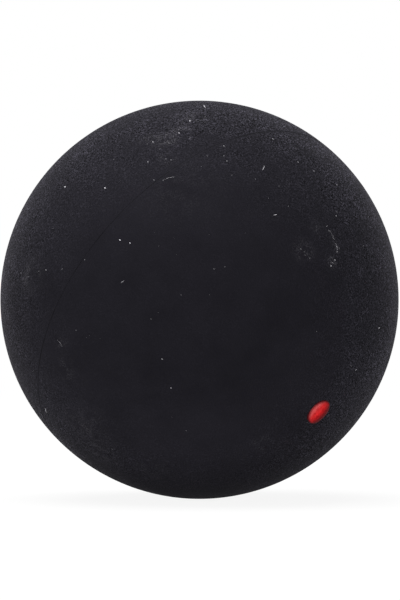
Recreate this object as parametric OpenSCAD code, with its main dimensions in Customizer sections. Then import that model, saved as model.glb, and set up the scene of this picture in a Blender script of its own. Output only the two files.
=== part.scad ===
// Squash ball: two moulded rubber half shells glued rim to rim around a hollow of plain air,
// buffed flush outside, with one round dot of paint near the pole of one half.
// The origin is the centre of the ball, and +Z is up as the ball lies on a level floor.
// Every piece is drawn about the pole axis, with the glued joint in the plane z = 0,
// and is then turned to the way that the ball lies.

/* [Ball] */
// Outside diameter of the finished ball
ball_d = 40; // [36:0.5:48]
// Thickness of the moulded rubber wall
wall_t = 5.2; // [3.5:0.1:7]

/* [Glued rims] */
// Thickness of the cured adhesive between the two flat rims
film_t = 0.1; // [0.05:0.01:0.4]
// How far the adhesive lies under the buffed surface, along the hairline
hairline_depth = 0.03; // [0.01:0.01:0.2]
// Radius that rounds the inner corner of each rim
rim_corner_r = 0.8; // [0.4:0.1:1.4]
// Radius of the adhesive bead that squeezes into the hollow
bead_r = 0.75; // [0.4:0.05:1.2]
// How far the middle of the bead lies behind the inner wall
bead_inset = 0.25; // [0.1:0.05:0.3]

/* [Paint dot] */
// Diameter of the dot
dot_d = 2.8; // [1.5:0.1:6]
// Height of the dried paint over the rubber at the middle of the dot
dot_rise = 0.2; // [0.1:0.05:0.4]
// Height of the paint's edge over the rubber
dot_edge_t = 0.05; // [0.02:0.01:0.08]
// Angle between the pole and the middle of the dot, in degrees
dot_off_pole = 3.3; // [0:0.1:30]
// Turn of the dot around the pole, in degrees
dot_turn = -106; // [-180:1:180]

/* [How the ball lies] */
// Direction of the dotted pole around +Z, counted from +X, in degrees
pole_azimuth = -42.5; // [-180:0.5:180]
// Angle of the dotted pole over the level, in degrees
pole_elevation = -34; // [-90:0.5:90]

/* [Hidden] */

ball_r = ball_d / 2;
hollow_r = ball_r - wall_t;
// Height of each flat rim over the middle of the joint
rim_z = film_t / 2;

// Middle of the arc that rounds a rim's inner corner: it touches the hollow's wall and the rim
corner_z = rim_z + rim_corner_r;
corner_x = sqrt(pow(hollow_r + rim_corner_r, 2) - pow(corner_z, 2));

// The dot's upper face is the part of a sphere through the dot's top and its edge
dot_r = dot_d / 2;
dot_top = ball_r + dot_rise;
dot_edge_z = sqrt(pow(ball_r, 2) - pow(dot_r, 2)) + dot_edge_t;
dome_h = dot_top - dot_edge_z;
dome_r = (pow(dot_r, 2) + pow(dome_h, 2)) / (2 * dome_h);

// Fineness of round shapes
$fn = 180;

rubber_colour = [0.10, 0.10, 0.115];
adhesive_colour = [0.05, 0.048, 0.05];
paint_colour = [0.62, 0.10, 0.10];

// Turns what is drawn about the pole axis to the way that the ball lies
module as_it_lies() {
    rotate([0, 90 - pole_elevation, pole_azimuth]) children();
}

// What the rounded inner corner of a rim takes off its square corner
module rim_corner_waste() {
    difference() {
        polygon([[0, 0], [corner_x, 0], [corner_x, corner_z]]);
        translate([corner_x, corner_z]) circle(r = rim_corner_r);
    }
}

// Section of a half shell, from its flat rim up to the pole
module shell_section() {
    difference() {
        intersection() {
            circle(r = ball_r);
            translate([0, rim_z]) square([ball_r, ball_r]);
        }
        circle(r = hollow_r);
        rim_corner_waste();
    }
}

// One moulded half shell with its pole on +Z
module half_shell() {
    rotate_extrude() shell_section();
}

// Section of the adhesive: the film between the rims, and the bead that fills their rounded corners
module adhesive_section() {
    film_x = hollow_r + bead_inset;
    translate([film_x, -rim_z]) square([ball_r - hairline_depth - film_x, film_t]);
    difference() {
        translate([film_x, 0]) circle(r = bead_r);
        shell_section();
        mirror([0, 1]) shell_section();
    }
}

// Section of the paint: a shallow dome with a thin round edge, lying on the ball's surface
module dot_section() {
    difference() {
        intersection() {
            translate([0, dot_top - dome_r]) circle(r = dome_r);
            square([dot_r, dot_top]);
        }
        circle(r = ball_r);
    }
}

module dotted_half_shell() {
    color(rubber_colour) as_it_lies() half_shell();
}

module plain_half_shell() {
    color(rubber_colour) as_it_lies() mirror([0, 0, 1]) half_shell();
}

module adhesive_joint() {
    color(adhesive_colour) as_it_lies() rotate_extrude() adhesive_section();
}

module speed_dot() {
    color(paint_colour) as_it_lies()
        rotate([0, dot_off_pole, dot_turn]) rotate_extrude() dot_section();
}

dotted_half_shell();
plain_half_shell();
adhesive_joint();
speed_dot();
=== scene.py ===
# %% [markdown]
# A squash ball is a hollow rubber ball as wide as a ping-pong ball. Two moulded half shells are
# glued rim to rim, the outside is buffed matt, and a dot of paint tells the player how fast
# the ball is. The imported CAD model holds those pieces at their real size. This lesson gives them
# their looks: a buffed relief, dust, lint, rubbed marks, and paint that dried with a rounded edge.

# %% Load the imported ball
import math
import random

import bmesh
import bpy
import numpy as np
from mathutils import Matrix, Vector, noise


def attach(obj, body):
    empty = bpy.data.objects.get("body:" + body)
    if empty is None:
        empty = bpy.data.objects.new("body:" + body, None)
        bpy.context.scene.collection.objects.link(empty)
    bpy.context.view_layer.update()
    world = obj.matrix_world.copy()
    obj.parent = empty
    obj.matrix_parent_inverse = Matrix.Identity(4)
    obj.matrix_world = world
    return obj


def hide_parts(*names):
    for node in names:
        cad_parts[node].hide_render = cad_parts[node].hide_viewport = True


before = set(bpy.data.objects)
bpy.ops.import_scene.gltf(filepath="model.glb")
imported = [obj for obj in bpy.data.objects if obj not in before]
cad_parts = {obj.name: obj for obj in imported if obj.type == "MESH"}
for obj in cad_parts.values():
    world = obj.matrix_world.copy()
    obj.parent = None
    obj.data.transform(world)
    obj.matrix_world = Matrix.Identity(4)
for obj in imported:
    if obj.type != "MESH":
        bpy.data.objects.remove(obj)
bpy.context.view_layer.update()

MM = 0.001
print("pieces of the packed model:", sorted(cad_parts))

# %% [markdown]
# The ball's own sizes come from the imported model, so the looks follow it when it changes. The
# farthest and nearest points of a half shell give the ball's radius and the hollow's. The
# paint's own points tell where the dot sits and how wide it is. The adhesive lies in a thin ring
# between the rims, so the direction in which its points spread least is the pole axis.

# %% Measure the ball
def points_of(name):
    """The points of a CAD node as an array."""
    return np.array([v.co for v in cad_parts[name].data.vertices])


shell = points_of("dotted_half_shell")
shell_reach = np.linalg.norm(shell, axis=1)
ball_r = float(shell_reach.max())
hollow_r = float(shell_reach.min())

paint = points_of("speed_dot")
dot_way = Vector(paint.mean(axis=0)).normalized()
dot_r = float(np.linalg.norm(np.cross(paint, np.array(dot_way)), axis=1).max())
dot_rise = float(np.linalg.norm(paint, axis=1).max()) - ball_r

glue = points_of("adhesive_joint")
pole = Vector(np.linalg.eigh(glue.T @ glue)[1][:, 0])
if pole.dot(dot_way) < 0:
    pole = -pole
shell_height = shell @ np.array(pole)
rim_z = float(shell_height.min())
print(f"ball {2 * ball_r / MM:.2f} mm, hollow {2 * hollow_r / MM:.2f} mm across")
print(f"film between the rims {2 * rim_z / MM:.2f} mm")
print(f"dot {2 * dot_r / MM:.2f} mm wide and {dot_rise / MM:.2f} mm proud")

# %% [markdown]
# A half shell's rim is flat, and its inner corner is rounded. The flat part ends where the
# rounding begins, so the rim's innermost points give the middle of the rounding. Its arc touches
# the hollow's wall, and that gives its radius. Heights that differ by less than a small slack
# count as one, here and further down.

# %% Measure the rounded corner of a rim
SLACK = 0.001 * MM

shell_width = np.sqrt(shell_reach ** 2 - shell_height ** 2)
corner_x = float(shell_width[shell_height < rim_z + SLACK].min())
corner_r = (corner_x ** 2 + rim_z ** 2 - hollow_r ** 2) / (2 * (hollow_r - rim_z))
print(f"rim corner rounded to {corner_r / MM:.2f} mm")

# %% [markdown]
# The camera comes before the pieces, because it decides how much detail will show. The ball
# fills the photograph's width. The rims' hairline and the dot only fall on their places in the
# picture if the camera stands about nine ball widths away, so the lens is a long one. From that
# distance and the circle's radius in pixels follows the focal length.

# %% Place the camera
def new_object(name, data):
    """An object with the given data, in the scene."""
    made = bpy.data.objects.new(name, data)
    bpy.context.scene.collection.objects.link(made)
    return made


PHOTO_W = 400
PHOTO_H = 600
CIRCLE_X = 199.49
CIRCLE_Y = 299.77
CIRCLE_R = 199.3
CAMERA_REACH = 18
SENSOR = 36

camera_y = -CAMERA_REACH * ball_r
focal_px = CIRCLE_R * math.sqrt(CAMERA_REACH ** 2 - 1)

camera = new_object("camera", bpy.data.cameras.new("camera"))
camera.location = (0, camera_y, 0)
camera.rotation_euler = (math.pi / 2, 0, 0)
camera.data.sensor_width = SENSOR
camera.data.lens = focal_px * SENSOR / PHOTO_H
camera.data.shift_x = (PHOTO_W / 2 - CIRCLE_X) / PHOTO_H
camera.data.shift_y = (CIRCLE_Y - PHOTO_H / 2) / PHOTO_H
camera.data.clip_start = ball_r
bpy.context.scene.camera = camera
print(f"camera {-camera_y:.3f} m away, lens {camera.data.lens:.1f} mm")

# %% [markdown]
# Dust, lint and rubbed marks are placed as pixels of the photograph. A helper sends a ray from the
# camera through a pixel and returns the spot where it meets the ball. What is placed this way lies
# on the rubber from every side.

# %% A helper that finds a pixel's spot on the ball
def on_ball(pixel_x, pixel_y):
    """The point of the ball's surface that shows at a pixel of the photograph."""
    way = Vector(((pixel_x - CIRCLE_X) / focal_px, 1, (CIRCLE_Y - pixel_y) / focal_px)).normalized()
    eye = Vector(camera.location)
    along = -eye.dot(way)
    missed = (eye + along * way).length
    return eye + (along - math.sqrt(max(ball_r ** 2 - missed ** 2, 0))) * way


print("the middle of the picture shows", [round(x / MM, 2) for x in on_ball(CIRCLE_X, CIRCLE_Y)])

# %% [markdown]
# Node trees are easier to read when every node takes one line. These helpers add a node, do
# arithmetic with numbers and with vectors, stretch a value from one range to another, take a
# place apart, call a group, and make an empty group with named sockets. They serve the shader
# trees and the Geometry Nodes trees alike.

# %% Helpers for node trees
NUMBERS_OUT = ("LENGTH", "DISTANCE", "DOT_PRODUCT")


def put(tree, kind, inputs=None, **settings):
    """Adds a node to a tree. A socket given as an input is linked, any other value is set."""
    added = tree.nodes.new(kind)
    for key, value in settings.items():
        setattr(added, key, value)
    for key, value in (inputs or {}).items():
        if isinstance(value, bpy.types.NodeSocket):
            tree.links.new(value, added.inputs[key])
        else:
            added.inputs[key].default_value = value
    return added


def calc(tree, operation, *values):
    """One step of arithmetic with numbers or sockets, as a socket."""
    return put(tree, "ShaderNodeMath", dict(enumerate(values)), operation=operation).outputs[0]


def times(tree, first, *others):
    """The product of numbers or sockets, as a socket."""
    for value in others:
        first = calc(tree, "MULTIPLY", first, value)
    return first


def vector_calc(tree, operation, *values, **named):
    """One step of arithmetic with vectors, as a socket."""
    inputs = {**dict(enumerate(values)), **named}
    done = put(tree, "ShaderNodeVectorMath", inputs, operation=operation)
    return done.outputs["Value" if operation in NUMBERS_OUT else "Vector"]


def ranged(tree, value, low, high, to_low=0.0, to_high=1.0, **settings):
    """Stretches a value from one range to another, and holds it there."""
    inputs = {"Value": value, 1: low, 2: high, 3: to_low, 4: to_high}
    return put(tree, "ShaderNodeMapRange", inputs, **settings).outputs[0]


def split(tree, place):
    """The three numbers of a place, as outputs."""
    return put(tree, "ShaderNodeSeparateXYZ", {0: place}).outputs


def use(tree, group, inputs):
    """Places a node group in a tree and returns its outputs."""
    kind = "ShaderNodeGroup" if group.bl_idname == "ShaderNodeTree" else "GeometryNodeGroup"
    return put(tree, kind, inputs, node_tree=group).outputs


def new_group(name, kind, inputs, outputs):
    """An empty node group: itself, what it is given and what it makes. A bare name is a number."""
    print("node group:", name)
    group = bpy.data.node_groups.new(name, kind)
    for way, sockets in (("INPUT", inputs), ("OUTPUT", outputs)):
        for socket in sockets:
            title, holds = (socket, "Float") if isinstance(socket, str) else socket
            group.interface.new_socket(title, in_out=way, socket_type="NodeSocket" + holds)
    given = group.nodes.new("NodeGroupInput").outputs
    return group, given, group.nodes.new("NodeGroupOutput").inputs


# %% [markdown]
# A pale floor, a white backdrop and one large soft lamp overhead are enough for a matt black
# ball. The camera and all reflections see a plain white room. Other light sees a dimmer one, so
# the white of the picture costs the ball none of its blackness. Near the ball the floor glows
# only in part, and keeps the ball's shadow. Farther off it glows fully, so that no horizon shows.
# What light it gives the ball's underside is a small share of that. From below the floor is
# clear, so that the underside can be looked at too.

# %% Paint the room white
WHITE = (1, 1, 1, 1)
ROOM_LEVEL = 0.47
FLOOR_COLOUR = (0.92, 0.92, 0.92, 1)
FLOOR_GLOW = 0.90
GLOW_REACH = (0.1, 0.4)
FLOOR_FILL = 0.12


def seen_white(tree):
    """Is 1 for rays from the camera, and for rays that a gloss or a clear piece sends on."""
    path = put(tree, "ShaderNodeLightPath").outputs
    first = calc(tree, "MAXIMUM", path["Is Camera Ray"], path["Is Glossy Ray"])
    return calc(tree, "MAXIMUM", first, path["Is Transmission Ray"])


def cleared(owner):
    """The node tree of a world or a material, with nothing in it yet."""
    owner.use_nodes = True
    owner.node_tree.nodes.clear()
    return owner.node_tree


world = bpy.data.worlds.new("room")
tree = cleared(world)
dim = put(tree, "ShaderNodeBackground", {"Color": WHITE, "Strength": ROOM_LEVEL}).outputs[0]
bright = put(tree, "ShaderNodeBackground", {"Color": WHITE, "Strength": 1}).outputs[0]
room = put(tree, "ShaderNodeMixShader", {0: seen_white(tree), 1: dim, 2: bright}).outputs[0]
put(tree, "ShaderNodeOutputWorld", {"Surface": room})
bpy.context.scene.world = world

floor_look = bpy.data.materials.new("floor")
tree = cleared(floor_look)
place = put(tree, "ShaderNodeTexCoord").outputs["Object"]
seen_glow = ranged(tree, vector_calc(tree, "LENGTH", place), *GLOW_REACH, FLOOR_GLOW)
share = calc(tree, "MAXIMUM", times(tree, seen_white(tree), seen_glow), FLOOR_FILL)
matt = put(tree, "ShaderNodeBsdfDiffuse", {"Color": FLOOR_COLOUR}).outputs[0]
glow = put(tree, "ShaderNodeEmission", {"Color": WHITE, "Strength": 1}).outputs[0]
both = put(tree, "ShaderNodeMixShader", {0: share, 1: matt, 2: glow}).outputs[0]
clear = put(tree, "ShaderNodeBsdfTransparent").outputs[0]
from_below = put(tree, "ShaderNodeNewGeometry").outputs["Backfacing"]
one_sided = put(tree, "ShaderNodeMixShader", {0: from_below, 1: both, 2: clear}).outputs[0]
put(tree, "ShaderNodeOutputMaterial", {"Surface": one_sided})
print(f"the room is white to the camera, and {ROOM_LEVEL} of that to other light")

# %% Lay the floor and hang the lamp
FLOOR_W = 3.0
LAMP_W = 0.7
LAMP_AT = Vector((-0.09, 0.04, 0.65))
LAMP_POWER = 7.2

half = FLOOR_W / 2
corners = [(x * half, y * half, -ball_r) for x, y in ((-1, -1), (1, -1), (1, 1), (-1, 1))]
floor_mesh = bpy.data.meshes.new("floor")
floor_mesh.from_pydata(corners, [], [(0, 1, 2, 3)])
floor_mesh.materials.append(floor_look)
floor = new_object("floor", floor_mesh)

lamp = new_object("soft_lamp", bpy.data.lights.new("soft_lamp", "AREA"))
lamp.data.size = LAMP_W
lamp.data.energy = LAMP_POWER
lamp.location = LAMP_AT
lamp.rotation_euler = (-LAMP_AT).to_track_quat("-Z", "Y").to_euler()
bpy.context.scene.view_settings.view_transform = "Standard"
print(f"floor {FLOOR_W} m wide, lamp {LAMP_AT.length:.2f} m from the ball's middle")

# %% [markdown]
# Buffing tears the rubber's skin into a fine nap with shallow pits. Up close it is relief, and
# farther off it is a faint unevenness of tone. Both come from noise at the grain's real size, so
# one shader group serves the rubber, the adhesive, the paint and the dust, each with its own
# values. It puts out a height for the bump and a tone for the colour.

# %% Group: buffed grain
WIDE_GRAINS = 26

grain, given, made = new_group(
    "Buffed grain", "ShaderNodeTree",
    [("Position", "Vector"), "Grain size", "Pitting"], ["Height", "Tone"])
tree = grain
per_grain = calc(tree, "DIVIDE", 1.0, given["Grain size"])
nap = put(tree, "ShaderNodeTexNoise", {"Vector": given["Position"], "Scale": per_grain,
                                       "Detail": 3.0, "Roughness": 0.6, "Distortion": 0.4})
pits = put(tree, "ShaderNodeTexVoronoi", {"Vector": given["Position"], "Scale": per_grain})
both = put(tree, "ShaderNodeMix", {"Factor": given["Pitting"], "A": nap.outputs["Fac"],
                                   "B": pits.outputs["Distance"]})
wide = put(tree, "ShaderNodeTexNoise",
           {"Vector": given["Position"], "Scale": calc(tree, "DIVIDE", per_grain, WIDE_GRAINS),
            "Detail": 5.0, "Roughness": 0.6})
tree.links.new(both.outputs["Result"], made["Height"])
tree.links.new(wide.outputs["Fac"], made["Tone"])

# %% [markdown]
# Court dust settles on the nap as pale specks, too many to model one by one. A cell pattern
# gives each speck a place and three random numbers. The first decides whether the cell keeps
# its speck, the second gives the speck its size, and the third its strength.

# %% Group: settled dust
dust, given, made = new_group(
    "Settled dust", "ShaderNodeTree",
    [("Position", "Vector"), "Spacing", "Speck size", "Share"], ["Mask"])
tree = dust
per_spacing = calc(tree, "DIVIDE", 1.0, given["Spacing"])
cells = put(tree, "ShaderNodeTexVoronoi",
            {"Vector": given["Position"], "Scale": per_spacing}).outputs
away = times(tree, cells["Distance"], given["Spacing"])
draws = put(tree, "ShaderNodeSeparateColor", {"Color": cells["Color"]}).outputs
kept = calc(tree, "LESS_THAN", draws["Red"], given["Share"])
speck_r = times(tree, given["Speck size"], draws["Green"])
speck = ranged(tree, away, 0.0, speck_r, 1.0, 0.0, interpolation_type="SMOOTHSTEP")
tree.links.new(times(tree, speck, times(tree, kept, draws["Blue"])), made["Mask"])

# %% [markdown]
# A ball that has been hit carries rubbed marks, where it slid along a wall and picked up some of
# it. Each mark is a spot that is strongest in its middle and fades within a given reach. There
# are many of them, so one spot is a group of its own. What breaks them into crumbs is added
# once for all of them, further down.

# %% Group: rubbed mark
mark, given, made = new_group(
    "Rubbed mark", "ShaderNodeTree",
    [("Position", "Vector"), ("Centre", "Vector"), "Reach", "Strength"], ["Mask"])
tree = mark
away = vector_calc(tree, "DISTANCE", given["Position"], given["Centre"])
fade = ranged(tree, away, 0.0, given["Reach"], given["Strength"], 0.0,
              interpolation_type="SMOOTHSTEP")
tree.links.new(fade, made["Mask"])

# %% [markdown]
# The marks are listed: the pixel of their middle, how far they reach in mm, and how strongly they
# show. A far mark lies behind its pixel, on the back of the ball.

# %% Place the rubbed marks
MARKS = (
    (152, 139, 2.0, 0.24),
    (168, 138, 2.2, 0.32),
    (180, 130, 1.8, 0.32),
    (190, 118, 2.6, 0.22),
    (168, 158, 1.4, 0.18),
    (30, 275, 2.8, 0.22),
    (120, 110, 3.2, 0.14),
    (304, 251, 1.8, 0.16),
    (316, 226, 1.2, 0.18),
    (330, 233, 0.8, 0.24),
    (336, 247, 0.9, 0.32),
    (333, 262, 1.0, 0.32),
    (318, 152, 1.8, 0.10),
    (262, 443, 1.5, 0.20),
    (88, 430, 4.5, 0.11),
    (62, 345, 1.4, 0.09),
    (66, 370, 2.2, 0.09),
    (180, 190, 6.0, 0.05),
    (100, 452, 3.5, 0.14),
    (155, 472, 2.8, 0.11),
)
FAR_MARKS = (
    (120, 150, 3.0, 0.30),
    (140, 165, 1.6, 0.30),
    (300, 220, 2.4, 0.22),
    (90, 330, 3.6, 0.20),
    (250, 400, 2.0, 0.28),
)

rubbed_marks = []
for number, (pixel_x, pixel_y, reach, strength) in enumerate(MARKS + FAR_MARKS):
    centre = on_ball(pixel_x, pixel_y)
    if number >= len(MARKS):
        centre.y = -centre.y
    rubbed_marks.append({"Centre": centre, "Reach": reach * MM, "Strength": strength})
print("rubbed marks placed:", len(rubbed_marks))

# %% [markdown]
# The powder is thinnest round a spot near the middle of the ball's front, as the camera sees it,
# and grows with the distance from it, so it paints a paler, grainier sheen towards the outline. It
# eases off again on the far side. It gathers in patches and clumps, and little of it holds
# underneath, which paints shade there, or close beside the joint. One group puts out the powder,
# the painted light and the specks, and each material that lies in the dust calls it.

# %% Group: court dust, its powder with painted sheen and shade
LEAST_SHEEN_SPOT = (185, 322)
SHEEN_REACH = (0.45, 1.3)
SHEEN_CURVE = 2.5
EASED_REACH = (1.25, 1.75)
EASED_SHARE = 0.5
LEAST_DUST_AND_SHEEN = 0.03
DUST_AND_SHEEN_SPAN = 0.92
PATCHES = {"size": 4.0 * MM, "detail": 2.0, "low": 0.35, "high": 0.65, "to_low": 0.6,
           "to_high": 1.4}
CLUMPS = {"size": 0.7 * MM, "detail": 2.0, "low": 0.35, "high": 0.65, "to_low": 0.45,
          "to_high": 1.55}
SHADED_UNDERSIDE = (-ball_r, -0.75 * ball_r)
SHADED_UNDER_SHARE = 0.15
BESIDE_JOINT = (0.1 * MM, 0.35 * MM)
BESIDE_SHARE = 0.3


def far_from(tree, place, pixel, reach, near_value, far_value):
    """A value that changes with the distance from a placed spot. The reach is in ball radii."""
    away = vector_calc(tree, "DISTANCE", place, on_ball(*pixel))
    return ranged(tree, away, reach[0] * ball_r, reach[1] * ball_r, near_value, far_value)


def cloudy(tree, place, size, detail, low, high, to_low=0.0, to_high=1.0):
    """Noise of a size, stretched to a range."""
    clouds = put(tree, "ShaderNodeTexNoise", {"Vector": place, "Scale": 1 / size,
                                              "Detail": detail, "Roughness": 0.6})
    return ranged(tree, clouds.outputs["Fac"], low, high, to_low, to_high)


court_dust_and_light, given, made = new_group(
    "Court dust and painted light", "ShaderNodeTree", [("Position", "Vector")], ["Powder", "Painted light", "Specks"])
tree = court_dust_and_light
place = given["Position"]
# Less powder underneath paints shade on the ball's underside.
painted_under_shade = ranged(tree, split(tree, place)["Z"], *SHADED_UNDERSIDE, SHADED_UNDER_SHARE)
# Powder grows away from a spot near the front's middle, which paints a paler sheen towards the
# outline.
painted_rim_sheen = calc(tree, "POWER", far_from(tree, place, LEAST_SHEEN_SPOT, SHEEN_REACH, 0.0, 1.0), SHEEN_CURVE)
eased = far_from(tree, place, LEAST_SHEEN_SPOT, EASED_REACH, 1.0, EASED_SHARE)
dust_and_sheen = calc(tree, "MULTIPLY_ADD", times(tree, painted_rim_sheen, eased), DUST_AND_SHEEN_SPAN, LEAST_DUST_AND_SHEEN)
patchy = cloudy(tree, place, **PATCHES)
from_joint = calc(tree, "ABSOLUTE", vector_calc(tree, "DOT_PRODUCT", place, pole))
beside = ranged(tree, from_joint, *BESIDE_JOINT, BESIDE_SHARE)
clumps = cloudy(tree, place, **CLUMPS)
tree.links.new(times(tree, painted_under_shade, dust_and_sheen, patchy, beside, clumps), made["Powder"])
print(f"powder from {LEAST_DUST_AND_SHEEN:.2f} to {LEAST_DUST_AND_SHEEN + DUST_AND_SHEEN_SPAN:.2f}, before patches and clumps")

# %% [markdown]
# A few places get painted light: a paler tone, laid like a thin film of dust, that lifts the rubber
# where it gets too little light. Each patch has a pixel for its middle, a reach in ball radii from
# where it is full to where it ends, and a share. Fine noise breaks the rubbed marks into crumbs,
# and slower noise leaves whole stretches of them out. A few single specks lie everywhere.

# %% Group: court dust, its painted light and specks
PAINTED_LIGHT_PATCHES = (
    ((150, 180), (0.2, 1.0), 0.035),
    ((195, 475), (0.05, 0.55), 0.11),
    ((60, 405), (0.15, 0.45), 0.022),
    ((362, 398), (0.05, 0.35), 0.035),
)
CRUMB_SIZE = 0.13 * MM
CRUMBS = {"size": CRUMB_SIZE, "detail": 3.0, "low": 0.50, "high": 0.70}
STRETCHES = {"size": 8 * CRUMB_SIZE, "detail": 1.0, "low": 0.38, "high": 0.55}
SPECKS = {"Spacing": 1.2 * MM, "Speck size": 0.075 * MM}
SPECK_SHARE = 0.16
SPECK_STRENGTH = 0.2

painted_light_patches = 0.0
# Each patch of painted light lifts the rubber's tone where the ball gets too little light.
for pixel, reach, share in PAINTED_LIGHT_PATCHES:
    painted_light_patches = calc(tree, "MAXIMUM", painted_light_patches, far_from(tree, place, pixel, reach, share, 0.0))
tree.links.new(painted_light_patches, made["Painted light"])

marks = 0.0
for values in rubbed_marks:
    marks = calc(tree, "MAXIMUM", marks, use(tree, mark, {"Position": place, **values})["Mask"])
crumbs = times(tree, cloudy(tree, place, **CRUMBS), cloudy(tree, place, **STRETCHES))
marks = times(tree, marks, crumbs)
kept = times(tree, patchy, SPECK_SHARE)
specks = use(tree, dust, {"Position": place, "Share": kept, **SPECKS})["Mask"]
specks = calc(tree, "MAXIMUM", times(tree, specks, SPECK_STRENGTH), marks)
tree.links.new(specks, made["Specks"])
print("films of dust:", len(PAINTED_LIGHT_PATCHES))

# %% [markdown]
# All the looks are built alike: a colour, a roughness and a bump that both follow the height of
# the grain, and a few constants. These helpers make a material with its grain, mix two colours,
# and wire what comes out into the material's shader.

# %% Helpers for materials
GRAIN_HEIGHTS = (0.2, 0.8)
GRAIN_TONES = (0.3, 0.7)


def new_look(name, grain_size, pitting):
    """A material: itself, its tree, the place that is looked at, and the grain there."""
    print("look:", name)
    look = bpy.data.materials.new(name)
    look.use_nodes = True
    tree = look.node_tree
    place = put(tree, "ShaderNodeTexCoord").outputs["Object"]
    inputs = {"Position": place, "Grain size": grain_size, "Pitting": pitting}
    return look, tree, place, use(tree, grain, inputs)


def mixed(tree, share, first, second):
    """A colour between two colours or colour sockets. The numbers are those of colour sockets."""
    return put(tree, "ShaderNodeMix", {"Factor": share, 6: first, 7: second},
               data_type="RGBA").outputs[2]


def surfaced(tree, colour, height, roughness, depth, constants):
    """Wires a colour, and a roughness and a bump that follow a height, into the shader."""
    shader = tree.nodes["Principled BSDF"].inputs
    bump = put(tree, "ShaderNodeBump", {"Height": height, "Distance": depth}).outputs[0]
    tree.links.new(colour, shader["Base Color"])
    tree.links.new(ranged(tree, height, *GRAIN_HEIGHTS, *roughness), shader["Roughness"])
    tree.links.new(bump, shader["Normal"])
    for name, value in constants.items():
        shader[name].default_value = value


# %% [markdown]
# Buffed rubber is a bluish black that swallows light. The nap scatters a little of it sideways, so
# the ball's edge looks greyer than its middle: that is sheen, and it needs no gloss. The tone
# varies a little from place to place, and the powder in it adds a painted sheen towards the outline
# and a painted shade underneath. The height of the grain goes into the bump, and dust is mixed in
# last, because it lies on top.

# %% Look: buffed rubber
DUST_COLOUR = (0.355, 0.345, 0.375, 1)
RUBBER_DARK = (0.0004, 0.0004, 0.0006, 1)
RUBBER_PALE = (0.0738, 0.0697, 0.0912, 1)
SHEEN_COLOUR = (0.93, 0.90, 1.0, 1)
NAP_HEIGHTS = (0.38, 0.62)
NAP_MIDDLE = 0.151
TONE_SHARE = 0.04
POWDER_AND_SHEEN_LIFT = 0.03
TIP_POWER = 1.8


def nap_tone(tree, buffed, dust_and_light, weight):
    """From 0 in the hollows to 1 on the tips. Powder and painted sheen make all paler, and the tips
    most.
    """
    tips = calc(tree, "POWER", ranged(tree, buffed["Height"], *NAP_HEIGHTS), TIP_POWER)
    tips = calc(tree, "SUBTRACT", tips, 1 / (1 + TIP_POWER))
    slow = ranged(tree, buffed["Tone"], *GRAIN_TONES, -TONE_SHARE / 2, TONE_SHARE / 2)
    powder_and_sheen = times(tree, dust_and_light["Powder"], weight)
    middle = calc(tree, "ADD", calc(tree, "ADD", slow, dust_and_light["Painted light"]), NAP_MIDDLE)
    middle = calc(tree, "MULTIPLY_ADD", powder_and_sheen, POWDER_AND_SHEEN_LIFT, middle)
    return calc(tree, "MULTIPLY_ADD", tips, powder_and_sheen, middle)


def dusted_and_lit(tree, place, buffed, dark, pale, powder_and_sheen_weight):
    """The colour of rubber from its hollows to its tips, with painted sheen, shade and light in its
    tone, and the specks on top.
    """
    dust_and_light = use(tree, court_dust_and_light, {"Position": place})
    nap = mixed(tree, nap_tone(tree, buffed, dust_and_light, powder_and_sheen_weight), dark, pale)
    return mixed(tree, dust_and_light["Specks"], nap, DUST_COLOUR)


rubber_look, tree, place, buffed = new_look("buffed_rubber", grain_size=0.15 * MM, pitting=0.3)
rubber = dusted_and_lit(tree, place, buffed, RUBBER_DARK, RUBBER_PALE, powder_and_sheen_weight=1.0)
surfaced(tree, rubber, buffed["Height"], roughness=(0.95, 0.75), depth=0.025 * MM, constants={
    "Specular IOR Level": 0.02, "Sheen Weight": 0.038, "Sheen Roughness": 0.4,
    "Sheen Tint": SHEEN_COLOUR})

# %% [markdown]
# The adhesive is rubber too, cured in place, so it is buffed away with the rest. It is a little
# denser and blacker than the moulded rubber, and it lies a hair deeper, where little powder stays.
# That is all that shows of the joint. It reads as a faint dark line round the ball, and buffing has
# smeared the rubber over stretches of it. One such stretch is placed at a given pixel.

# %% Look: cured adhesive
ADHESIVE_PALE = (0.0400, 0.0385, 0.0480, 1)
SMEARED_SPOT = (165, 178)
SMEARED_REACH = (0.15, 0.6)
SMEARED_SHARE = 0.6
BARE_SHARE = -0.2
SMEARED_TONES = (0.42, 0.58)

adhesive_look, tree, place, buffed = new_look("cured_adhesive", grain_size=0.18 * MM, pitting=0.2)
smeared = far_from(tree, place, SMEARED_SPOT, SMEARED_REACH, SMEARED_SHARE, BARE_SHARE)
hidden = calc(tree, "ADD", smeared, ranged(tree, buffed["Tone"], *SMEARED_TONES))
rubber_like = mixed(tree, hidden, ADHESIVE_PALE, RUBBER_PALE)
adhesive = dusted_and_lit(tree, place, buffed, RUBBER_DARK, rubber_like, powder_and_sheen_weight=0.1)
surfaced(tree, adhesive, buffed["Height"], roughness=(0.8, 0.6), depth=0.008 * MM, constants={
    "Specular IOR Level": 0.05, "Sheen Weight": 0.01, "Sheen Roughness": 0.4})

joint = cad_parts["adhesive_joint"]
joint.data.materials.clear()
joint.data.materials.append(adhesive_look)

# %% [markdown]
# Geometry Nodes make a mesh by a rule, and the rule stays readable as a tree. The first helpers
# give the place of each point and move points. The next ones give an arrow from the ball's
# middle, which is how things are laid on the ball, and noise with a seed. One more ends a tree,
# because copies have to be made real and painted. The last one hands a tree its sizes by their
# names, lets Blender work it out, and keeps the result as a plain mesh.

# %% Helpers for Geometry Nodes
def here(tree):
    """The place of each point."""
    return put(tree, "GeometryNodeInputPosition").outputs[0]


def moved(tree, geometry, **inputs):
    """Geometry with its points moved to a Position or by an Offset."""
    return put(tree, "GeometryNodeSetPosition", {"Geometry": geometry, **inputs}).outputs[0]


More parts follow.
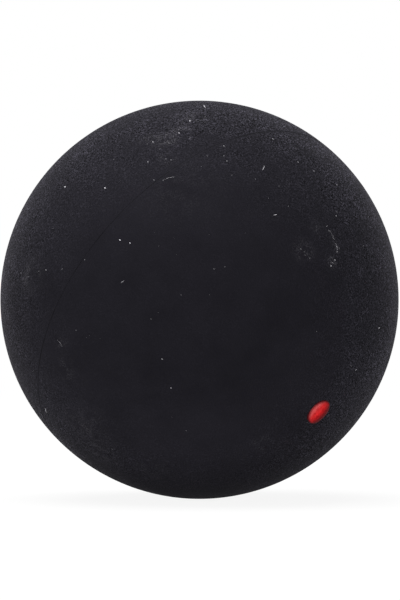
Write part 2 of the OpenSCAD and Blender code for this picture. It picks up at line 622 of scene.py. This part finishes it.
def outwards(tree, place, length):
    """An arrow from the ball's middle towards a place, of a given length."""
    way = vector_calc(tree, "NORMALIZE", place)
    return vector_calc(tree, "SCALE", way, Scale=length)


def seeded_noise(tree, place, seed, scale, detail):
    """Noise that another seed makes anew, as outputs."""
    inputs = {"Vector": place, "W": seed, "Scale": scale, "Detail": detail}
    return put(tree, "ShaderNodeTexNoise", inputs, noise_dimensions="4D").outputs


def finished(tree, geometry, material):
    """The end of a tree: copies made real, and the material set."""
    real = put(tree, "GeometryNodeRealizeInstances", {"Geometry": geometry}).outputs[0]
    return put(tree, "GeometryNodeSetMaterial", {"Geometry": real, "Material": material}).outputs[0]


def grown(name, tree, sizes, blank=None):
    """A plain mesh object that a tree made, from a blank if it needs one. Sizes go by name."""
    piece = new_object(name, blank or bpy.data.meshes.new(name))
    nodes = piece.modifiers.new("nodes", "NODES")
    nodes.node_group = tree
    for socket in tree.interface.items_tree:
        if socket.in_out == "INPUT" and socket.name in sizes:
            nodes[socket.identifier] = sizes[socket.name]
    ready = piece.evaluated_get(bpy.context.evaluated_depsgraph_get())
    mesh = bpy.data.meshes.new_from_object(ready)
    piece.modifiers.remove(nodes)
    piece.data = mesh
    return piece


# %% [markdown]
# The two half shells are the ball. Each is a dome with a thick wall, a flat rim and a rounded inner
# corner. A UV sphere cut in half would crowd its faces at the poles, and buffing needs even
# triangles everywhere. An ico sphere has those, and its equator is a clean ring of edges. So the
# rule is: a fine half ball outside, a coarse one inside, and rings of edges that join them.

# %% Nodes: half a ball
half_ball, given, made = new_group(
    "Half ball", "GeometryNodeTree",
    ["Radius", "Rim slope", ("Fineness", "Int")], [("Mesh", "Geometry")])
tree = half_ball
whole = put(tree, "GeometryNodeMeshIcoSphere", {"Radius": 1.0, "Subdivisions": given["Fineness"]})
place = here(tree)
below = calc(tree, "LESS_THAN", split(tree, place)["Z"], 0.0)
upper = put(tree, "GeometryNodeDeleteGeometry",
            {"Geometry": whole.outputs["Mesh"], "Selection": below}, domain="FACE").outputs[0]
lift = put(tree, "ShaderNodeCombineXYZ", {"Z": given["Rim slope"]}).outputs[0]
spot = outwards(tree, vector_calc(tree, "ADD", place, lift), given["Radius"])
tree.links.new(moved(tree, upper, Position=spot), made["Mesh"])

# %% [markdown]
# The fine outer edge has to meet the coarse inner one. So every point of a ring keeps its angle
# about the pole, rounded to a given number of points: many points of the fine edge then share
# a place with one of the coarse edge, and can be merged. Two small groups do this. The first finds
# the rounded place, and the second pulls the open edge of a mesh out to it.

# %% Nodes: one more ring
ring_spot, given, made = new_group(
    "Spot on a ring", "GeometryNodeTree",
    ["Radius", "Height", ("Points around", "Int")], [("Spot", "Vector")])
tree = ring_spot
apart = split(tree, here(tree))
step = calc(tree, "DIVIDE", math.tau, given["Points around"])
turn = calc(tree, "ARCTAN2", apart["Y"], apart["X"])
angle = times(tree, calc(tree, "ROUND", calc(tree, "DIVIDE", turn, step)), step)
spot = put(tree, "ShaderNodeCombineXYZ",
           {"X": times(tree, calc(tree, "COSINE", angle), given["Radius"]),
            "Y": times(tree, calc(tree, "SINE", angle), given["Radius"]), "Z": given["Height"]})
tree.links.new(spot.outputs[0], made["Spot"])

ring, given, made = new_group(
    "One more ring", "GeometryNodeTree",
    [("Mesh", "Geometry"), ("Edges", "Bool"), "Radius", "Height", ("Points around", "Int")],
    [("Mesh", "Geometry"), ("Edges", "Bool")])
tree = ring
pulled = put(tree, "GeometryNodeExtrudeMesh",
             {"Mesh": given["Mesh"], "Selection": given["Edges"], "Offset Scale": 0.0},
             mode="EDGES").outputs
at = {name: given[name] for name in ("Radius", "Height", "Points around")}
spot = use(tree, ring_spot, at)["Spot"]
ringed = moved(tree, pulled["Mesh"], Selection=pulled["Top"], Position=spot)
tree.links.new(ringed, made["Mesh"])
tree.links.new(pulled["Top"], made["Edges"])

# %% [markdown]
# The buffing is real relief, because it shows at the ball's outline and in the mesh. Points of
# the outer skin move inwards only, by noise at the grain's size and by a slower one that stands
# for the unsteady buffing wheel. So the ball never grows past its size. The noise is read where
# the ball lies, so it runs on across the joint from one shell to the other.

# %% Nodes: buffing
SLOWER = 9
FINE_SHARE = 0.65

buffing, given, made = new_group(
    "Buffing", "GeometryNodeTree",
    [("Mesh", "Geometry"), "Ball radius", "Relief size", "Depth", "Seed"], [("Mesh", "Geometry")])
tree = buffing
place = here(tree)
skin_r = calc(tree, "SUBTRACT", given["Ball radius"], SLACK)
outside = calc(tree, "GREATER_THAN", vector_calc(tree, "LENGTH", place), skin_r)
per_size = calc(tree, "DIVIDE", 1.0, given["Relief size"])
per_wave = calc(tree, "DIVIDE", per_size, SLOWER)
torn = seeded_noise(tree, place, given["Seed"], per_size, detail=2.0)["Fac"]
unsteady = seeded_noise(tree, place, given["Seed"], per_wave, detail=1.0)["Fac"]
worn = put(tree, "ShaderNodeMix", {"Factor": FINE_SHARE, "A": unsteady, "B": torn}).outputs[0]
inward = outwards(tree, place, times(tree, worn, given["Depth"], -1.0))
tree.links.new(moved(tree, given["Mesh"], Selection=outside, Offset=inward), made["Mesh"])

# %% [markdown]
# The half shell's own tree follows the section from outside to inside: first the dome, then the
# flat rim in one ring and the rounded corner in a few. An open edge has one face beside it, and
# that is how the tree finds where the first ring starts.

# %% Nodes: half shell, its skin and rim
CORNER_RINGS = 6
OUTER_FINENESS = 8
INNER_FINENESS = 6
INNER_POINTS = 160

half_shell, given, made = new_group(
    "Half shell", "GeometryNodeTree",
    ["Ball radius", "Hollow radius", "Rim height", "Corner radius", ("Turn", "Rotation"),
     "Relief size", "Relief depth", "Seed", ("Finish", "Material")],
    [("Mesh", "Geometry")])
tree = half_shell
corner_z = calc(tree, "ADD", given["Rim height"], given["Corner radius"])
corner_reach = calc(tree, "ADD", given["Hollow radius"], given["Corner radius"])
corner_slope = calc(tree, "ARCSINE", calc(tree, "DIVIDE", corner_z, corner_reach))
rim_x = times(tree, corner_reach, calc(tree, "COSINE", corner_slope))
outer_slope = calc(tree, "DIVIDE", given["Rim height"], given["Ball radius"])

skin = use(tree, half_ball, {"Radius": given["Ball radius"], "Rim slope": outer_slope,
                             "Fineness": OUTER_FINENESS})["Mesh"]
faces_beside = put(tree, "GeometryNodeInputMeshEdgeNeighbors").outputs["Face Count"]
so_far = {"Mesh": skin, "Edges": calc(tree, "COMPARE", faces_beside, 1.0, 0.5)}
rings = [{"Radius": rim_x, "Height": given["Rim height"]}]
for count in range(1, CORNER_RINGS + 1):
    turned = times(tree, calc(tree, "SUBTRACT", math.pi / 2, corner_slope), count / CORNER_RINGS)
    drawn_in = times(tree, calc(tree, "SINE", turned), given["Corner radius"])
    raised = times(tree, calc(tree, "COSINE", turned), given["Corner radius"])
    rings.append({"Radius": calc(tree, "SUBTRACT", rim_x, drawn_in),
                  "Height": calc(tree, "SUBTRACT", corner_z, raised)})
for at in rings:
    at["Points around"] = INNER_POINTS
    so_far = use(tree, ring, {"Mesh": so_far["Mesh"], "Edges": so_far["Edges"], **at})
print("rings from the rim to the hollow:", len(rings))

# %% [markdown]
# The hollow's wall is a coarser half ball. Its open edge is set on the points of the last ring,
# so that merging closes the shell. Then the shell is turned to the way the ball lies, and buffed.

# %% Nodes: half shell, its hollow
wall = use(tree, half_ball, {"Radius": given["Hollow radius"],
                             "Rim slope": calc(tree, "TANGENT", corner_slope),
                             "Fineness": INNER_FINENESS})["Mesh"]
wall_edge = calc(tree, "COMPARE", split(tree, here(tree))["Z"], at["Height"], SLACK)
evened = moved(tree, wall, Selection=wall_edge, Position=use(tree, ring_spot, at)["Spot"])
facing_in = put(tree, "GeometryNodeFlipFaces", {"Mesh": evened}).outputs[0]
loose = put(tree, "GeometryNodeJoinGeometry", {0: so_far["Mesh"]})
tree.links.new(facing_in, loose.inputs[0])
closed = put(tree, "GeometryNodeMergeByDistance",
             {"Geometry": loose.outputs[0], "Distance": SLACK})
lying = put(tree, "GeometryNodeTransform",
            {"Geometry": closed.outputs[0], "Rotation": given["Turn"]}).outputs[0]
buffed = use(tree, buffing, {"Mesh": lying, "Ball radius": given["Ball radius"],
                             "Relief size": given["Relief size"], "Depth": given["Relief depth"],
                             "Seed": given["Seed"]})["Mesh"]
tree.links.new(finished(tree, buffed, given["Finish"]), made["Mesh"])
print("nodes in the half shell's tree:", len(tree.nodes))

# %% [markdown]
# Both shells come from the same tree, and only the turn differs: one pole points to the dot and the
# other away from it. A mesh that will be printed or weighed must be closed, so for each one the
# open edges are counted and the volume is printed.

# %% Mould the two half shells
RELIEF_SIZE = 0.55 * MM
RELIEF_DEPTH = 0.025 * MM
RELIEF_SEED = 3.0
SHARP_ANGLE = math.radians(40)


def made_solid(shape, mesh):
    """Writes a closed shape to a mesh, faces outwards. Returns its open edges and its volume."""
    bmesh.ops.recalc_face_normals(shape, faces=shape.faces)
    if shape.calc_volume(signed=True) < 0:
        bmesh.ops.reverse_faces(shape, faces=shape.faces)
    gaps = sum(not edge.is_manifold for edge in shape.edges)
    volume = shape.calc_volume()
    shape.to_mesh(mesh)
    shape.free()
    mesh.shade_smooth()
    mesh.set_sharp_from_angle(angle=SHARP_ANGLE)
    return gaps, volume / MM ** 3


def moulded(name, node, way):
    """Makes a half shell with its pole in the given direction, in place of its CAD node."""
    turn = Vector((0, 0, 1)).rotation_difference(way).to_euler()
    piece = grown(name, half_shell, {
        "Ball radius": ball_r, "Hollow radius": hollow_r, "Rim height": rim_z,
        "Corner radius": corner_r, "Turn": turn, "Relief size": RELIEF_SIZE,
        "Relief depth": RELIEF_DEPTH, "Seed": RELIEF_SEED, "Finish": rubber_look})
    shape = bmesh.new()
    shape.from_mesh(piece.data)
    gaps, volume = made_solid(shape, piece.data)
    piece.data.calc_loop_triangles()
    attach(piece, "root")
    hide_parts(node)
    print(f"{name}: {len(piece.data.loop_triangles)} triangles, {gaps} gaps, {volume:.0f} mm3")


moulded("dotted_half", "dotted_half_shell", pole)
moulded("plain_half", "plain_half_shell", -pole)

# %% [markdown]
# The speed dot is a dab of thick paint. It dried with a steep rounded edge, a nearly flat top
# and an outline that isn't quite a circle. A flat disc would look printed. So an ico sphere is
# pressed into that shape: its upper half becomes the top and the edge, its lower half sinks a
# little into the rubber, and slow waves pull the outline out of round. Each wave has a number of
# lobes, a share by which it pulls, and the angle at which it starts.

# %% Press the paint dot
LOBES = ((2, 0.05, 65), (4, 0.02, 21), (5, 0.015, -12))
DOT_SPREAD = 0.93
DOT_SUNK = 0.06 * MM
EDGE_SHARPNESS = 7
DOME_SHARE = 0.35
DAB_LUMP = 0.012 * MM
DAB_LUMP_SIZE = 0.45 * MM

across = Vector((0, 0, 1)).cross(dot_way).normalized()
upwards = dot_way.cross(across)

shape = bmesh.new()
bmesh.ops.create_icosphere(shape, subdivisions=6, radius=1)
for vert in shape.verts:
    x, y, z = vert.co
    width = min(math.hypot(x, y), 1)
    turn = math.atan2(y, x)
    outline = dot_r * DOT_SPREAD
    for count, share, start in LOBES:
        outline *= 1 + share * math.cos(count * (turn - math.radians(start)))
    side = across * math.cos(turn) + upwards * math.sin(turn)
    spot = dot_way * math.sqrt(ball_r ** 2 - (width * outline) ** 2) + side * width * outline
    if z > 0:
        crown = 1 - DOME_SHARE * width ** 2
        rise = dot_rise * crown * math.sqrt(1 - width ** EDGE_SHARPNESS)
        rise -= DAB_LUMP * (1 + noise.noise(spot / DAB_LUMP_SIZE)) / 2 * crown
    else:
        rise = -DOT_SUNK * min(-z * EDGE_SHARPNESS, 1)
    vert.co = spot + spot.normalized() * rise
dab_mesh = bpy.data.meshes.new("paint_dot")
gaps, volume = made_solid(shape, dab_mesh)
dab = new_object("paint_dot", dab_mesh)
print(f"paint dot: {len(dab_mesh.polygons)} triangles, {gaps} gaps, {volume:.2f} mm3")

# %% [markdown]
# Dried paint has a satin skin. It thins out towards its edge, where the black rubber shows through,
# so the red darkens there. The side that faces the lamp gets a painted highlight, a paler pink, and
# the opposite edge gets a painted shade, a dark red. Each of these is a mask by distance: from
# close to the dot's middle for the thin edge, and from well beside the dot for the painted
# highlight and the painted shade on either side.

# %% Look: red paint
PAINT_DEEP = (0.45, 0.003, 0.005, 1)
PAINT_BRIGHT = (0.68, 0.009, 0.011, 1)
PAINT_HIGHLIGHT = (0.72, 0.17, 0.17, 1)
# The dark red of the thin edge, which also serves as the painted shade on the side away from the
# lamp.
PAINT_THIN_AND_SHADE = (0.060, 0.006, 0.008, 1)
BRIGHT_HEIGHTS = (0.35, 0.65)
HIGHLIGHT_HEIGHTS = (0.3, 0.6)
LEAST_HIGHLIGHT = 0.4
SIDE_HIGHLIGHT = 0.15
EDGE_HIGHLIGHT = 0.42
PAINTED_SHADE_SHARE = 0.9
STAND_OFF = 1.5
THIN_STAND_OFF = 0.04
LIT_TURN = math.radians(150)
LIT_SIDE = across * math.cos(LIT_TURN) + upwards * math.sin(LIT_TURN)


def beyond(tree, place, way, stand_off, start, full):
    """Is 0 up to one share of the dot's radius on the way to a side, and 1 from another on."""
    centre = dot_way * ball_r - way * dot_r * stand_off
    away = vector_calc(tree, "DISTANCE", place, centre)
    return ranged(tree, away, dot_r * (stand_off + start), dot_r * (stand_off + full))


paint_look, tree, place, skin = new_look("red_paint", grain_size=0.3 * MM, pitting=0.25)
bright = ranged(tree, skin["Height"], *BRIGHT_HEIGHTS)
uneven = ranged(tree, skin["Height"], *HIGHLIGHT_HEIGHTS, LEAST_HIGHLIGHT)
# The side and edge masks paint a highlight, a paler pink, on the side of the dot that faces the
# lamp.
side = beyond(tree, place, LIT_SIDE, STAND_OFF, start=-0.2, full=0.5)
edge = beyond(tree, place, LIT_SIDE, STAND_OFF, start=0.4, full=0.65)
painted_highlight = calc(tree, "MULTIPLY_ADD", side, SIDE_HIGHLIGHT, times(tree, edge, EDGE_HIGHLIGHT))
thin = beyond(tree, place, LIT_SIDE, THIN_STAND_OFF, start=0.70, full=0.90)
# A painted shade: dark red over the edge that faces away from the lamp. The dark mask holds this
# painted shade together with the thin edge.
painted_shade = beyond(tree, place, -LIT_SIDE, STAND_OFF, start=-0.05, full=0.52)
dark = calc(tree, "MAXIMUM", thin, times(tree, painted_shade, PAINTED_SHADE_SHARE))
red = mixed(tree, bright, PAINT_DEEP, PAINT_BRIGHT)
red = mixed(tree, times(tree, painted_highlight, uneven), red, PAINT_HIGHLIGHT)
red = mixed(tree, dark, red, PAINT_THIN_AND_SHADE)
surfaced(tree, red, skin["Height"], roughness=(0.55, 0.4), depth=0.012 * MM, constants={
    "Specular IOR Level": 0.015})

dab_mesh.materials.append(paint_look)
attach(dab, "root")
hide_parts("speed_dot")

# %% [markdown]
# The larger flecks of dust stand on the rubber and catch the light, so they are real chips. Those
# that the photograph shows are placed one by one, in classes of size. The rest are strewn at
# random, more of them above than below, and only the far side gets large ones. Geometry Nodes suit
# this: a small chip is copied to every point, turned to lie on the ball, and each copy gets its own
# size.

# %% Look: pale dust
DUST_DARK = (0.45, 0.44, 0.47, 1)
DUST_LIGHT = (0.72, 0.71, 0.75, 1)

dust_look, tree, place, crumb = new_look("pale_dust", grain_size=0.08 * MM, pitting=0.3)
pale = mixed(tree, ranged(tree, crumb["Tone"], *GRAIN_TONES), DUST_DARK, DUST_LIGHT)
surfaced(tree, pale, crumb["Height"], roughness=(1.0, 0.85), depth=0.004 * MM, constants={
    "Specular IOR Level": 0.1})

# %% Nodes: dust flecks, where they lie
STREWN_FROM = -0.4
LEAST_STREWN = 0.12

flecks, given, made = new_group(
    "Dust flecks", "GeometryNodeTree",
    [("Places", "Geometry"), "Ball radius", "Fleck size", "Flecks per area", ("Seed", "Int"),
     ("Finish", "Material")],
    [("Mesh", "Geometry")])
tree = flecks
place = here(tree)
apart = split(tree, place)
reach = given["Ball radius"]
above = ranged(tree, calc(tree, "DIVIDE", apart["Z"], reach), STREWN_FROM, 1.0, LEAST_STREWN)
ground = put(tree, "GeometryNodeMeshIcoSphere", {"Radius": reach, "Subdivisions": 5}).outputs[0]
strewn = put(tree, "GeometryNodeDistributePointsOnFaces",
             {"Mesh": ground, "Seed": given["Seed"],
              "Density": times(tree, given["Flecks per area"], above)}).outputs["Points"]
placed = put(tree, "GeometryNodeMeshToPoints", {"Mesh": given["Places"]}).outputs[0]
points = put(tree, "GeometryNodeJoinGeometry", {0: strewn})
tree.links.new(placed, points.inputs[0])
settled = moved(tree, points.outputs[0], Position=outwards(tree, place, reach))

# %% [markdown]
# A chip is the coarsest ico sphere. Random numbers squeeze it, spin it and give it a size, and
# each of them draws with a seed of its own. A placed chip takes its own size where that is
# the larger one.

# %% Nodes: dust flecks, their chips
NARROWEST = (0.7, 0.5, 0.3)
WIDEST = (1.0, 0.8, 0.45)
STREWN_SIZES = (0.1, 0.3)
LARGE_EXTRA = 0.6
LARGE_CURVE = 3


def drawn(low, high, turn):
    """A random number for each fleck. Sockets 2 and 3 hold the range of a plain number."""
    seed = calc(tree, "ADD", given["Seed"], turn)
    return put(tree, "FunctionNodeRandomValue", {2: low, 3: high, "Seed": seed}).outputs[1]


chip = put(tree, "GeometryNodeMeshIcoSphere", {"Radius": 1.0, "Subdivisions": 1}).outputs[0]
way = vector_calc(tree, "NORMALIZE", place)
upright = put(tree, "FunctionNodeAlignRotationToVector", {"Vector": way}, axis="Z").outputs[0]
spin = put(tree, "FunctionNodeRandomValue", {"Max": (0, 0, math.tau), "Seed": given["Seed"]},
           data_type="FLOAT_VECTOR").outputs[0]
laid = put(tree, "FunctionNodeRotateRotation", {"Rotation": upright, "Rotate By": spin},
           rotation_space="LOCAL").outputs[0]
proportions = put(tree, "FunctionNodeRandomValue",
                  {"Min": NARROWEST, "Max": WIDEST, "Seed": calc(tree, "ADD", given["Seed"], 1)},
                  data_type="FLOAT_VECTOR").outputs[0]
luck = drawn(*STREWN_SIZES, turn=2)
rare = calc(tree, "POWER", drawn(0.0, 1.0, turn=3), LARGE_CURVE)
rare = times(tree, rare, calc(tree, "GREATER_THAN", apart["Y"], 0.0))
luck = calc(tree, "MULTIPLY_ADD", rare, LARGE_EXTRA, luck)
chosen = put(tree, "GeometryNodeInputNamedAttribute", {"Name": "share"}).outputs["Attribute"]
how_big = times(tree, calc(tree, "MAXIMUM", luck, chosen), given["Fleck size"])
size = vector_calc(tree, "SCALE", proportions, Scale=how_big)
chips = put(tree, "GeometryNodeInstanceOnPoints",
            {"Points": settled, "Instance": chip, "Rotation": laid, "Scale": size}).outputs[0]
tree.links.new(finished(tree, chips, given["Finish"]), made["Mesh"])

# %% Strew the flecks
FLECK_SIZE = 0.1 * MM
FLECKS_PER_MM2 = 0.05
FLECK_SEED = 11
FACES_PER_CHIP = 20
PLACED_FLECKS = {
    1.2: ((190, 121), (65, 187), (105, 188)),
    1.0: ((120, 240), (179, 133), (379, 328)),
    0.85: ((130, 243), (153, 142)),
    0.7: ((273, 139), (171, 388), (224, 146), (335, 260), (331, 266)),
    0.6: ((227, 161), (356, 370), (148, 162), (162, 359), (46, 270), (298, 162), (336, 216),
          (337, 185), (314, 171)),
    0.5: ((154, 180), (171, 160), (166, 159), (169, 143), (46, 409), (224, 156), (337, 252),
          (327, 226)),
    0.4: ((329, 231), (333, 237), (337, 247), (333, 263), (337, 212), (301, 249)),
    0.35: ((304, 252), (339, 248), (305, 255), (76, 330), (85, 260), (207, 156), (62, 269),
           (310, 258), (151, 319), (164, 142), (164, 120), (363, 246), (205, 117), (170, 125),
           (232, 175), (39, 271), (29, 277), (351, 366), (368, 217), (21, 273), (170, 138),
           (147, 144), (210, 131), (114, 159), (112, 449), (279, 186), (296, 148), (255, 179),
           (164, 127), (190, 138), (160, 149), (33, 371), (249, 120), (214, 269), (181, 295)),
}

placed = [(on_ball(*pixel), share) for share, pixels in PLACED_FLECKS.items() for pixel in pixels]
places = bpy.data.meshes.new("fleck_places")
places.from_pydata([spot for spot, _ in placed], [], [])
places.attributes.new("share", "FLOAT", "POINT").data.foreach_set("value", [s for _, s in placed])
dust_flecks = grown("dust_flecks", flecks, {
    "Ball radius": ball_r, "Fleck size": FLECK_SIZE, "Flecks per area": FLECKS_PER_MM2 / MM ** 2,
    "Seed": FLECK_SEED, "Finish": dust_look}, places)
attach(dust_flecks, "root")
print("flecks of dust:", len(dust_flecks.data.polygons) // FACES_PER_CHIP)

# %% [markdown]
# Lint clings to rubber: short curved hairs, thinner than the grain. Each hair starts as a bent
# line of three points on the ball, with a thickness of its own. The tree smooths it, lets it
# sway a little, lays it on the surface and gives it a round body with pointed ends.

# %% Nodes: lint
SWAY_SCALE = 0.6 / MM
BLUNT_END = 0.15

lint_nodes, given, made = new_group(
    "Lint", "GeometryNodeTree",
    [("Lines", "Geometry"), "Ball radius", "Hair radius", "Sway", ("Points along", "Int"),
     "Seed", ("Finish", "Material")],
    [("Mesh", "Geometry")])
tree = lint_nodes
lines = put(tree, "GeometryNodeMeshToCurve", {"Mesh": given["Lines"]}).outputs[0]
smooth = put(tree, "GeometryNodeCurveSplineType", {"Curve": lines}, spline_type="CATMULL_ROM")
even = put(tree, "GeometryNodeResampleCurve",
           {"Curve": smooth.outputs[0], "Count": given["Points along"]}).outputs[0]
place = here(tree)
swing = seeded_noise(tree, place, given["Seed"], SWAY_SCALE, detail=0.0)["Color"]
centred = vector_calc(tree, "SUBTRACT", swing, (0.5, 0.5, 0.5))
swayed = vector_calc(tree, "SCALE", centred, Scale=given["Sway"])
spot = outwards(tree, vector_calc(tree, "ADD", place, swayed), given["Ball radius"])
lying = moved(tree, even, Position=spot)
along = put(tree, "GeometryNodeSplineParameter").outputs["Factor"]
taper = calc(tree, "SQRT", calc(tree, "SINE", times(tree, along, math.pi)))
stout = put(tree, "GeometryNodeInputNamedAttribute", {"Name": "stoutness"}).outputs["Attribute"]
thick = times(tree, calc(tree, "MAXIMUM", taper, BLUNT_END), stout)
round_body = put(tree, "GeometryNodeCurvePrimitiveCircle",
                 {"Resolution": 6, "Radius": given["Hair radius"]}).outputs["Curve"]
hairs = put(tree, "GeometryNodeCurveToMesh",
            {"Curve": lying, "Profile Curve": round_body, "Scale": thick,
             "Fill Caps": True}).outputs[0]
tree.links.new(finished(tree, hairs, given["Finish"]), made["Mesh"])

# %% Lay the hairs
HAIRS = (
    ((162, 181), (168, 178), (175, 177), 0.75),
    ((262.5, 170), (263.5, 167.5), (264, 165.5), 1.9),
    ((273.5, 215.5), (275, 215), (277, 214.5), 1.9),
    ((121, 283), (122.5, 281.5), (124.5, 280.5), 0.9),
    ((203.5, 105), (204.5, 107), (206, 108), 2.2),
    ((45, 408), (46, 411), (47, 413), 1.0),
    ((57, 340), (60, 343), (62, 347), 0.38),
    ((328.5, 229), (331.5, 234), (334.5, 240.5), 0.35),
    ((335, 242.5), (336.5, 246.5), (337.5, 251), 0.5),
)
STRAY_HAIRS = 9
STRAY_LENGTH = 1.6 * MM
HAIR_RADIUS = 0.014 * MM
HAIR_SEED = 5
HAIR_POINTS = 3

chance = random.Random(HAIR_SEED)
spots = [on_ball(*pixel) for hair in HAIRS for pixel in hair[:HAIR_POINTS]]
for _ in range(STRAY_HAIRS):
    start = Vector([chance.gauss(0, 1) for _ in range(3)]).normalized() * ball_r
    start.y = abs(start.y)
    bend = [Vector([chance.uniform(-1, 1) for _ in range(3)]) * STRAY_LENGTH / 2 for _ in range(2)]
    spots += [start, start + bend[0], start + bend[0] + bend[1]]
stoutness = [hair[HAIR_POINTS] for hair in HAIRS for _ in range(HAIR_POINTS)]
stoutness += [1.0] * (len(spots) - len(stoutness))
joins = [(k, k + 1) for k in range(len(spots)) if (k + 1) % HAIR_POINTS]
lines = bpy.data.meshes.new("hair_lines")
lines.from_pydata(spots, joins, [])
lines.attributes.new("stoutness", "FLOAT", "POINT").data.foreach_set("value", stoutness)
lint = grown("lint", lint_nodes, {
    "Ball radius": ball_r, "Hair radius": HAIR_RADIUS, "Sway": 0.15 * MM, "Points along": 14,
    "Seed": 2.0, "Finish": dust_look}, lines)
lint.data.shade_smooth()
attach(lint, "root")
print("hairs:", len(spots) // HAIR_POINTS, "with", len(lint.data.polygons), "faces")
